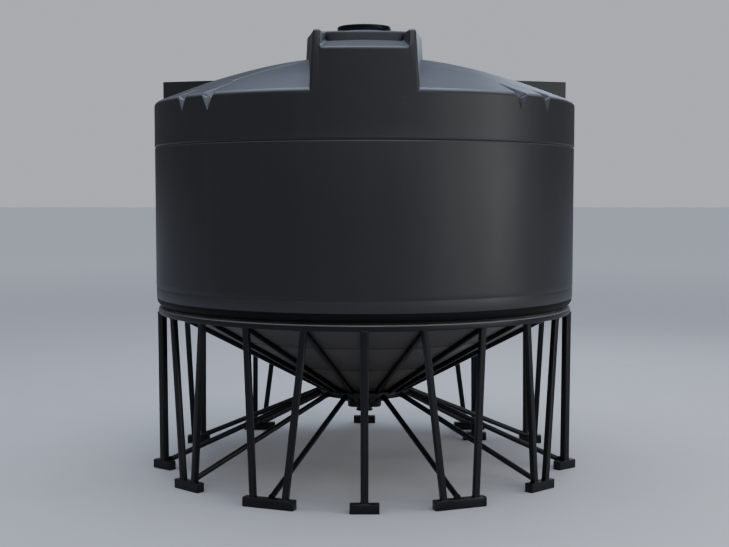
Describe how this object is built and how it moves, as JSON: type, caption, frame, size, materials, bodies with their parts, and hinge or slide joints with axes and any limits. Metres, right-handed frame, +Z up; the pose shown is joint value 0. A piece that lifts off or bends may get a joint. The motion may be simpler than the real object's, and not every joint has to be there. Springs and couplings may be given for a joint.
{
  "type": "vertical storage tank on stand",
  "caption": "Black moulded vertical tank with a domed roof, lidded manway, two rear lugs and a cone bottom, on a welded steel ring stand with splayed legs, feet and braces.",
  "frame": {"origin": "on the floor under the tank's axis, at the middle of the feet", "axes": "+Z up along the tank's axis; -Y is the front, where the manway block stands flush with the wall; +X is to the right of a person facing the front"},
  "size_m": [2.4712, 2.448, 2.597],
  "materials": {
    "brace_back": "black paint over welded steel",
    "brace_front": "black paint over welded steel",
    "brace_inner_front_left": "black paint over welded steel",
    "brace_inner_front_right": "black paint over welded steel",
    "brace_inner_rear_left": "black paint over welded steel",
    "brace_inner_rear_right": "black paint over welded steel",
    "brace_outer_front_left": "black paint over welded steel",
    "brace_outer_front_right": "black paint over welded steel",
    "brace_outer_rear_left": "black paint over welded steel",
    "brace_outer_rear_right": "black paint over welded steel",
    "brace_side_left": "black paint over welded steel",
    "brace_side_right": "black paint over welded steel",
    "cradle_front": "black paint over welded steel",
    "cradle_left": "black paint over welded steel",
    "cradle_rear": "black paint over welded steel",
    "cradle_right": "black paint over welded steel",
    "leg_frame_back": "black paint over welded steel",
    "leg_frame_front": "black paint over welded steel",
    "leg_frame_inner_front_left": "black paint over welded steel",
    "leg_frame_inner_front_right": "black paint over welded steel",
    "leg_frame_inner_rear_left": "black paint over welded steel",
    "leg_frame_inner_rear_right": "black paint over welded steel",
    "leg_frame_outer_front_left": "black paint over welded steel",
    "leg_frame_outer_front_right": "black paint over welded steel",
    "leg_frame_outer_rear_left": "black paint over welded steel",
    "leg_frame_outer_rear_right": "black paint over welded steel",
    "leg_frame_side_left": "black paint over welded steel",
    "leg_frame_side_right": "black paint over welded steel",
    "leg_prop": "black paint over welded steel",
    "manway_block": "black moulded plastic",
    "manway_lid": "black moulded plastic, satin",
    "outlet_flange": "black moulded plastic",
    "outlet_valve": "black moulded plastic",
    "rear_lug_left": "black moulded plastic",
    "rear_lug_right": "black moulded plastic",
    "stand_ring": "black paint over welded steel",
    "tank_bottom_cone": "black moulded plastic",
    "tank_roof": "black moulded plastic",
    "tank_wall_1": "black moulded plastic",
    "tank_wall_2": "black moulded plastic",
    "tank_wall_3": "black moulded plastic",
    "tank_wall_4": "black moulded plastic",
    "tank_wall_5": "black moulded plastic",
    "tank_wall_6": "black moulded plastic"
  },
  "bodies": {
    "tank": {"brace_back": "brace_back", "brace_front": "brace_front", "brace_inner_front_left": "brace_inner_front_left", "brace_inner_front_right": "brace_inner_front_right", "brace_inner_rear_left": "brace_inner_rear_left", "brace_inner_rear_right": "brace_inner_rear_right", "brace_outer_front_left": "brace_outer_front_left", "brace_outer_front_right": "brace_outer_front_right", "brace_outer_rear_left": "brace_outer_rear_left", "brace_outer_rear_right": "brace_outer_rear_right", "brace_side_left": "brace_side_left", "brace_side_right": "brace_side_right", "cradle_front": "cradle_front", "cradle_left": "cradle_left", "cradle_rear": "cradle_rear", "cradle_right": "cradle_right", "leg_frame_back": "leg_frame_back", "leg_frame_front": "leg_frame_front", "leg_frame_inner_front_left": "leg_frame_inner_front_left", "leg_frame_inner_front_right": "leg_frame_inner_front_right", "leg_frame_inner_rear_left": "leg_frame_inner_rear_left", "leg_frame_inner_rear_right": "leg_frame_inner_rear_right", "leg_frame_outer_front_left": "leg_frame_outer_front_left", "leg_frame_outer_front_right": "leg_frame_outer_front_right", "leg_frame_outer_rear_left": "leg_frame_outer_rear_left", "leg_frame_outer_rear_right": "leg_frame_outer_rear_right", "leg_frame_side_left": "leg_frame_side_left", "leg_frame_side_right": "leg_frame_side_right", "leg_prop": "leg_prop", "manway_block": "manway_block", "outlet_flange": "outlet_flange", "outlet_valve": "outlet_valve", "rear_lug_left": "rear_lug_left", "rear_lug_right": "rear_lug_right", "stand_ring": "stand_ring", "tank_bottom_cone": "tank_bottom_cone", "tank_roof": "tank_roof", "tank_wall_1": "tank_wall_1", "tank_wall_2": "tank_wall_2", "tank_wall_3": "tank_wall_3", "tank_wall_4": "tank_wall_4", "tank_wall_5": "tank_wall_5", "tank_wall_6": "tank_wall_6"},
    "lid": {"manway_lid": "manway_lid"}
  },
  "joints": [
    {"name": "lid_lift", "type": "slide", "parent": "tank", "child": "lid", "axis": [0, 0, 1], "range_m": [0, 0.25]}
  ]
}
